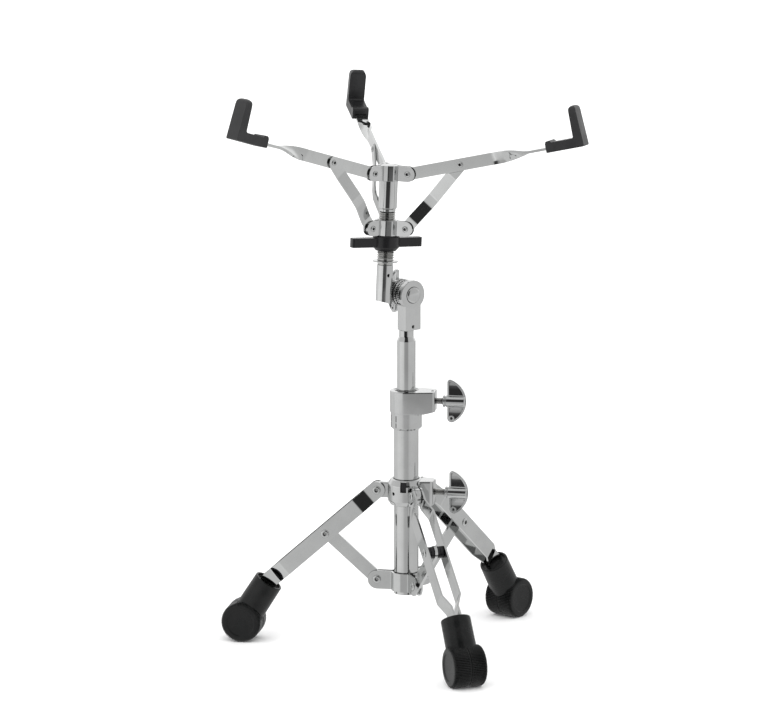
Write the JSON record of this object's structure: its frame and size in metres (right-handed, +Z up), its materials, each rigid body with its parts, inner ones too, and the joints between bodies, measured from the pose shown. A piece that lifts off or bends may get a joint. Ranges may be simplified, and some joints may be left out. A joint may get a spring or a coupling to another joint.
{
  "type": "snare drum stand",
  "caption": "Chrome snare drum stand: folding double-strip tripod with rubber feet, telescopic column, geared tilter and a basket of hinged arms with rubber boots.",
  "frame": {"origin": "centre of the stand's outline on the floor, at the bottom of the feet; the column stands 7 mm from it", "axes": "+Z up along the column; +X to the right and +Y to the back as the stand is seen from the front; the front leg points between -Y and +X"},
  "size_m": [0.3734, 0.3827, 0.5891],
  "materials": {
    "chrome": "bright chrome plating on steel and zinc castings",
    "plated_gear": "dull plated toothed rings",
    "foot_rubber": "satin black moulded rubber with a fine ribbed tread",
    "boot_rubber": "matt dark grey moulded rubber",
    "black_plastic": "satin black moulded plastic",
    "bush_nylon": "black nylon"
  },
  "bodies": {
    "tripod_collar": {"tripod_collar": "chrome"},
    "leg_front": {"brace_pin_front": "black_plastic", "foot_front": "foot_rubber", "leg_pin_front": "chrome", "leg_strip_front_a": "chrome", "leg_strip_front_b": "chrome"},
    "brace_front": {"brace_front": "chrome"},
    "leg_right": {"brace_pin_right": "black_plastic", "foot_right": "foot_rubber", "leg_pin_right": "chrome", "leg_strip_right_a": "chrome", "leg_strip_right_b": "chrome"},
    "brace_right": {"brace_right": "chrome"},
    "leg_left": {"brace_pin_left": "black_plastic", "foot_left": "foot_rubber", "leg_pin_left": "chrome", "leg_strip_left_a": "chrome", "leg_strip_left_b": "chrome"},
    "brace_left": {"brace_left": "chrome"},
    "column": {"brace_foot_pin_front": "chrome", "brace_foot_pin_left": "chrome", "brace_foot_pin_right": "chrome", "clamp_bush": "bush_nylon", "height_clamp": "chrome", "lower_collar": "chrome", "lower_tube": "chrome"},
    "tripod_wing": {"tripod_wing_screw": "chrome"},
    "upper_post": {"tilter_bolt": "chrome", "tilter_gear_lower": "plated_gear", "tilter_housing": "chrome", "upper_tube": "chrome"},
    "height_wing": {"height_wing_screw": "chrome"},
    "tilter_head": {"basket_hub": "chrome", "basket_sleeve": "chrome", "hub_pin_back": "chrome", "hub_pin_left": "chrome", "hub_pin_right": "chrome", "stop_washer": "chrome", "threaded_shaft": "chrome", "tilter_gear_upper": "plated_gear", "tilter_post": "chrome"},
    "tilter_wing": {"tilter_wing_nut": "chrome"},
    "basket_slider": {"basket_slider": "chrome", "strut_pin_back": "chrome", "strut_pin_left": "chrome", "strut_pin_right": "chrome"},
    "basket_nut": {"basket_nut": "black_plastic"},
    "arm_back": {"arm_back": "chrome", "arm_pin_back": "chrome", "boot_back": "boot_rubber"},
    "strut_back": {"strut_back": "chrome"},
    "arm_left": {"arm_left": "chrome", "arm_pin_left": "chrome", "boot_left": "boot_rubber"},
    "strut_left": {"strut_left": "chrome"},
    "arm_right": {"arm_pin_right": "chrome", "arm_right": "chrome", "boot_right": "boot_rubber"},
    "strut_right": {"strut_right": "chrome"}
  },
  "joints": [
    {"name": "tripod_fold", "type": "hinge", "parent": "tripod_collar", "child": "leg_front", "pos_m": [0.01506, -0.03393, 0.165], "axis": [0.9409, 0.3387, 0], "range_deg": [-10, 38]},
    {"name": "leg_right_fold", "type": "hinge", "parent": "tripod_collar", "child": "leg_right", "pos_m": [0.0241, 0.01735, 0.165], "axis": [-0.7683, 0.6401, 0], "range_deg": [-10, 38]},
    {"name": "leg_left_fold", "type": "hinge", "parent": "tripod_collar", "child": "leg_left", "pos_m": [-0.02461, -0.00028, 0.165], "axis": [-0.1805, -0.9836, 0], "range_deg": [-10, 38]},
    {"name": "brace_front_turn", "type": "hinge", "parent": "leg_front", "child": "brace_front", "pos_m": [0.03302, -0.08379, 0.1179], "axis": [0.9409, 0.3387, 0], "range_deg": [-76, 20]},
    {"name": "brace_right_turn", "type": "hinge", "parent": "leg_right", "child": "brace_right", "pos_m": [0.05803, 0.05807, 0.1179], "axis": [-0.7683, 0.6401, 0], "range_deg": [-76, 20]},
    {"name": "brace_left_turn", "type": "hinge", "parent": "leg_left", "child": "brace_left", "pos_m": [-0.07674, 0.00928, 0.1179], "axis": [-0.1805, -0.9836, 0], "range_deg": [-76, 20]},
    {"name": "column_upright", "type": "hinge", "parent": "brace_front", "child": "column", "pos_m": [0.01506, -0.03393, 0.0708], "axis": [0.9409, 0.3387, 0], "range_deg": [-10, 38]},
    {"name": "height_slide", "type": "slide", "parent": "column", "child": "upper_post", "axis": [0, 0, 1], "range_m": [-0.045, 0.09]},
    {"name": "basket_tilt", "type": "hinge", "parent": "upper_post", "child": "tilter_head", "pos_m": [0.0049, -0.0057, 0.37], "axis": [-0.6211, 0.7837, 0], "range_deg": [-35, 85]},
    {"name": "tripod_wing_turn", "type": "hinge", "parent": "tripod_collar", "child": "tripod_wing", "pos_m": [0.0049, -0.0057, 0.1648], "axis": [0.9848, -0.1736, 0], "continuous": true},
    {"name": "height_wing_turn", "type": "hinge", "parent": "column", "child": "height_wing", "pos_m": [0.0049, -0.0057, 0.2594], "axis": [0.9945, -0.1045, 0], "continuous": true},
    {"name": "tilter_wing_turn", "type": "hinge", "parent": "tilter_head", "child": "tilter_wing", "pos_m": [0.0049, -0.0057, 0.37], "axis": [-0.6211, 0.7837, 0], "continuous": true},
    {"name": "basket_nut_turn", "type": "hinge", "parent": "basket_slider", "child": "basket_nut", "pos_m": [-0.01616, -0.01729, 0.41669], "axis": [0.0407, 0.0322, 0.9987], "range_deg": [-1440, 1440]},
    {"name": "basket_slider_lift", "type": "slide", "parent": "tilter_head", "child": "basket_slider", "axis": [0.0407, 0.0322, 0.9987], "range_m": [-0.0081, 0.0081]},
    {"name": "arm_back_raise", "type": "hinge", "parent": "tilter_head", "child": "arm_back", "pos_m": [-0.01682, 0.0058, 0.49568], "axis": [0.9817, 0.1849, -0.046], "range_deg": [-10.5, 10.5]},
    {"name": "arm_left_raise", "type": "hinge", "parent": "tilter_head", "child": "arm_left", "pos_m": [-0.02875, -0.02834, 0.49727], "axis": [-0.6521, 0.7582, 0.0021], "range_deg": [-10.5, 10.5]},
    {"name": "arm_right_raise", "type": "hinge", "parent": "tilter_head", "child": "arm_right", "pos_m": [0.00679, -0.02164, 0.49561], "axis": [-0.3296, -0.9431, 0.0439], "range_deg": [-10.5, 10.5]},
    {"name": "strut_back_turn", "type": "hinge", "parent": "arm_back", "child": "strut_back", "pos_m": [-0.02646, 0.06019, 0.50847], "axis": [-0.9817, -0.1849, 0.046], "range_deg": [-8.5, 8.5]},
    {"name": "strut_left_turn", "type": "hinge", "parent": "arm_left", "child": "strut_left", "pos_m": [-0.06975, -0.06364, 0.51423], "axis": [0.6521, -0.7582, -0.0021], "range_deg": [-8.5, 8.5]},
    {"name": "strut_right_turn", "type": "hinge", "parent": "arm_right", "child": "strut_right", "pos_m": [0.05915, -0.03936, 0.50819], "axis": [0.3296, 0.9431, -0.0439], "range_deg": [-8.5, 8.5]}
  ],
  "couplings": [
    {"joint": "leg_right_fold", "follows": "tripod_fold", "ratio": 1},
    {"joint": "leg_left_fold", "follows": "tripod_fold", "ratio": 1},
    {"joint": "brace_front_turn", "follows": "tripod_fold", "ratio": -2},
    {"joint": "brace_right_turn", "follows": "tripod_fold", "ratio": -2},
    {"joint": "brace_left_turn", "follows": "tripod_fold", "ratio": -2},
    {"joint": "column_upright", "follows": "tripod_fold", "ratio": 1},
    {"joint": "basket_slider_lift", "follows": "basket_nut_turn", "m_per_rad": 0.00031831},
    {"joint": "arm_back_raise", "follows": "basket_nut_turn", "ratio": 0.007162},
    {"joint": "arm_left_raise", "follows": "basket_nut_turn", "ratio": 0.007162},
    {"joint": "arm_right_raise", "follows": "basket_nut_turn", "ratio": 0.007162},
    {"joint": "strut_back_turn", "follows": "basket_nut_turn", "ratio": 0.0057296},
    {"joint": "strut_left_turn", "follows": "basket_nut_turn", "ratio": 0.0057296},
    {"joint": "strut_right_turn", "follows": "basket_nut_turn", "ratio": 0.0057296}
  ]
}
